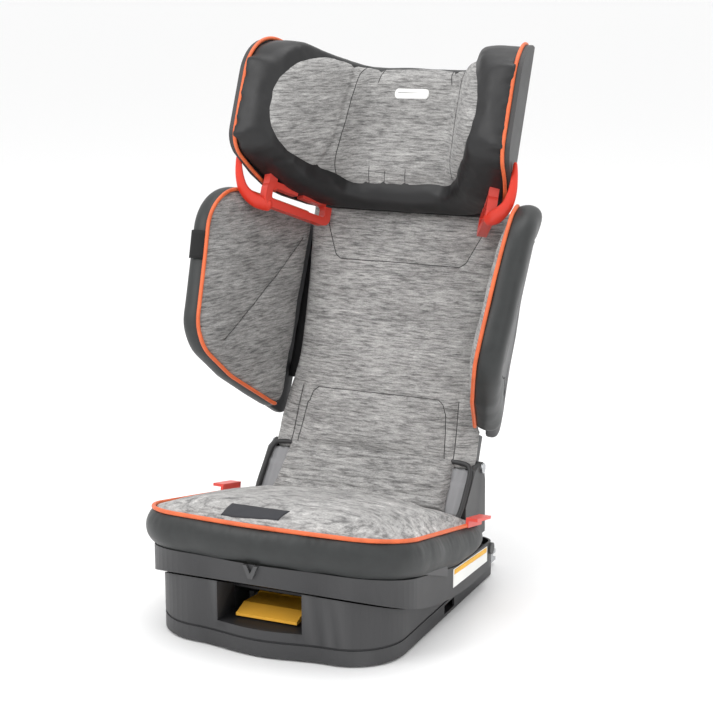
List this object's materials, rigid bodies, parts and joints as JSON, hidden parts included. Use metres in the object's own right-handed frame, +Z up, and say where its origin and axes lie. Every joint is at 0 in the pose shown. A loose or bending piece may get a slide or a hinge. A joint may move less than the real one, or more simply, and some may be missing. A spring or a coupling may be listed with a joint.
{
  "type": "booster seat",
  "caption": "High-back car booster: cushioned seat reclining on a curved base, folding back, sliding side wings and a headrest with shoulder-belt guides that slides up.",
  "frame": {"origin": "centre line of the seat on the surface it stands on, under the middle of the base", "axes": "+Z up, -Y towards the front of the seat, +X to the viewer's right when facing the seat"},
  "size_m": [0.4582, 0.5996, 0.7236],
  "materials": {
    "base_plastic": "fine-textured moulded plastic",
    "shell_plastic": "fine-textured moulded plastic",
    "frame_plastic": "fine-textured moulded plastic",
    "panel_plastic": "satin moulded plastic",
    "pale_plastic": "plain moulded plastic",
    "yellow_plastic": "satin moulded plastic",
    "red_plastic": "semi-gloss moulded plastic",
    "rubber": "matte",
    "steel": "zinc plated",
    "heather_fabric": "melange woven fabric over foam",
    "grey_leatherette": "smooth coated fabric",
    "black_leatherette": "smooth coated fabric",
    "foam": "expanded foam",
    "label": "printed film, left blank",
    "dark_label": "woven patch, left blank"
  },
  "bodies": {
    "base": {"base_tray": "base_plastic", "base_cover": "base_plastic", "base_feet": "rubber", "base_screws": "steel", "handle_pin": "steel", "handle_spring": "steel"},
    "recline_lever": {"recline_handle": "yellow_plastic", "recline_pawl": "steel"},
    "anchor_connectors": {"latch_arms": "steel", "latch_crossbar": "frame_plastic"},
    "anchor_button_left": {"latch_button_left": "red_plastic"},
    "anchor_button_right": {"latch_button_right": "red_plastic"},
    "seat": {"seat_shell": "shell_plastic", "slide_blocks": "pale_plastic", "recline_rack": "steel", "seat_foam": "foam", "cushion_band": "grey_leatherette", "cushion_top": "heather_fabric", "cushion_patch": "dark_label", "cover_hook": "frame_plastic", "side_tabs": "base_plastic", "side_label": "label", "lap_guides": "red_plastic", "lower_frame": "frame_plastic", "lower_panel": "panel_plastic", "lower_back_pad": "heather_fabric", "fold_pins": "steel", "pivot_caps": "frame_plastic"},
    "back": {"back_panel": "frame_plastic", "back_cover": "frame_plastic", "back_screws": "steel", "back_pad": "heather_fabric", "rod_sleeves": "pale_plastic", "height_rack": "steel"},
    "wing_left": {"wing_shell_left": "shell_plastic", "wing_pad_left": "heather_fabric", "wing_bar_left": "steel", "wing_tag": "dark_label"},
    "wing_right": {"wing_shell_right": "shell_plastic", "wing_pad_right": "heather_fabric", "wing_bar_right": "steel"},
    "width_adjuster": {"width_knob": "pale_plastic", "knob_grip": "frame_plastic"},
    "headrest": {"head_shell": "frame_plastic", "head_rim": "black_leatherette", "head_insert": "heather_fabric", "head_badge": "label", "head_carrier": "frame_plastic", "guide_rods": "steel", "belt_guide_left": "red_plastic", "belt_guide_right": "red_plastic"},
    "height_release": {"height_handle": "frame_plastic"}
  },
  "joints": [
    {"name": "recline", "type": "hinge", "parent": "base", "child": "seat", "pos_m": [0, 0.1, 0.746], "axis": [-1, 0, 0], "range_deg": [0, 5]},
    {"name": "recline_handle", "type": "hinge", "parent": "base", "child": "recline_lever", "pos_m": [0, -0.1, 0.04], "axis": [-1, 0, 0], "range_deg": [0, 9], "stiffness_Nm_per_rad": 0.5, "springref_deg": -28.65},
    {"name": "anchor_slide", "type": "slide", "parent": "base", "child": "anchor_connectors", "axis": [0, 1, 0], "range_m": [0, 0.06]},
    {"name": "anchor_release_left", "type": "slide", "parent": "anchor_connectors", "child": "anchor_button_left", "axis": [0, -1, 0], "range_m": [0, 0.004], "stiffness_N_per_m": 300, "springref_m": -0.004},
    {"name": "anchor_release_right", "type": "slide", "parent": "anchor_connectors", "child": "anchor_button_right", "axis": [0, -1, 0], "range_m": [0, 0.004], "stiffness_N_per_m": 300, "springref_m": -0.004},
    {"name": "back_fold", "type": "hinge", "parent": "seat", "child": "back", "pos_m": [0, 0.168, 0.16], "axis": [1, 0, 0], "range_deg": [0, 70]},
    {"name": "wing_right_slide", "type": "slide", "parent": "back", "child": "wing_right", "axis": [1, 0, 0], "range_m": [0, 0.03]},
    {"name": "wing_left_slide", "type": "slide", "parent": "back", "child": "wing_left", "axis": [-1, 0, 0], "range_m": [0, 0.03]},
    {"name": "width_knob_turn", "type": "hinge", "parent": "back", "child": "width_adjuster", "pos_m": [0, 0.21095, 0.2395], "axis": [0, -0.9184, 0.3955], "range_deg": [0, 144]},
    {"name": "headrest_height", "type": "slide", "parent": "back", "child": "headrest", "axis": [0, 0.3955, 0.9184], "range_m": [0, 0.12]},
    {"name": "height_release_pull", "type": "slide", "parent": "headrest", "child": "height_release", "axis": [0, 0.3955, 0.9184], "range_m": [0, 0.006], "stiffness_N_per_m": 400, "springref_m": -0.004}
  ],
  "couplings": [
    {"joint": "wing_left_slide", "follows": "wing_right_slide", "ratio": 1},
    {"joint": "width_knob_turn", "follows": "wing_right_slide", "rad_per_m": 83.333}
  ]
}
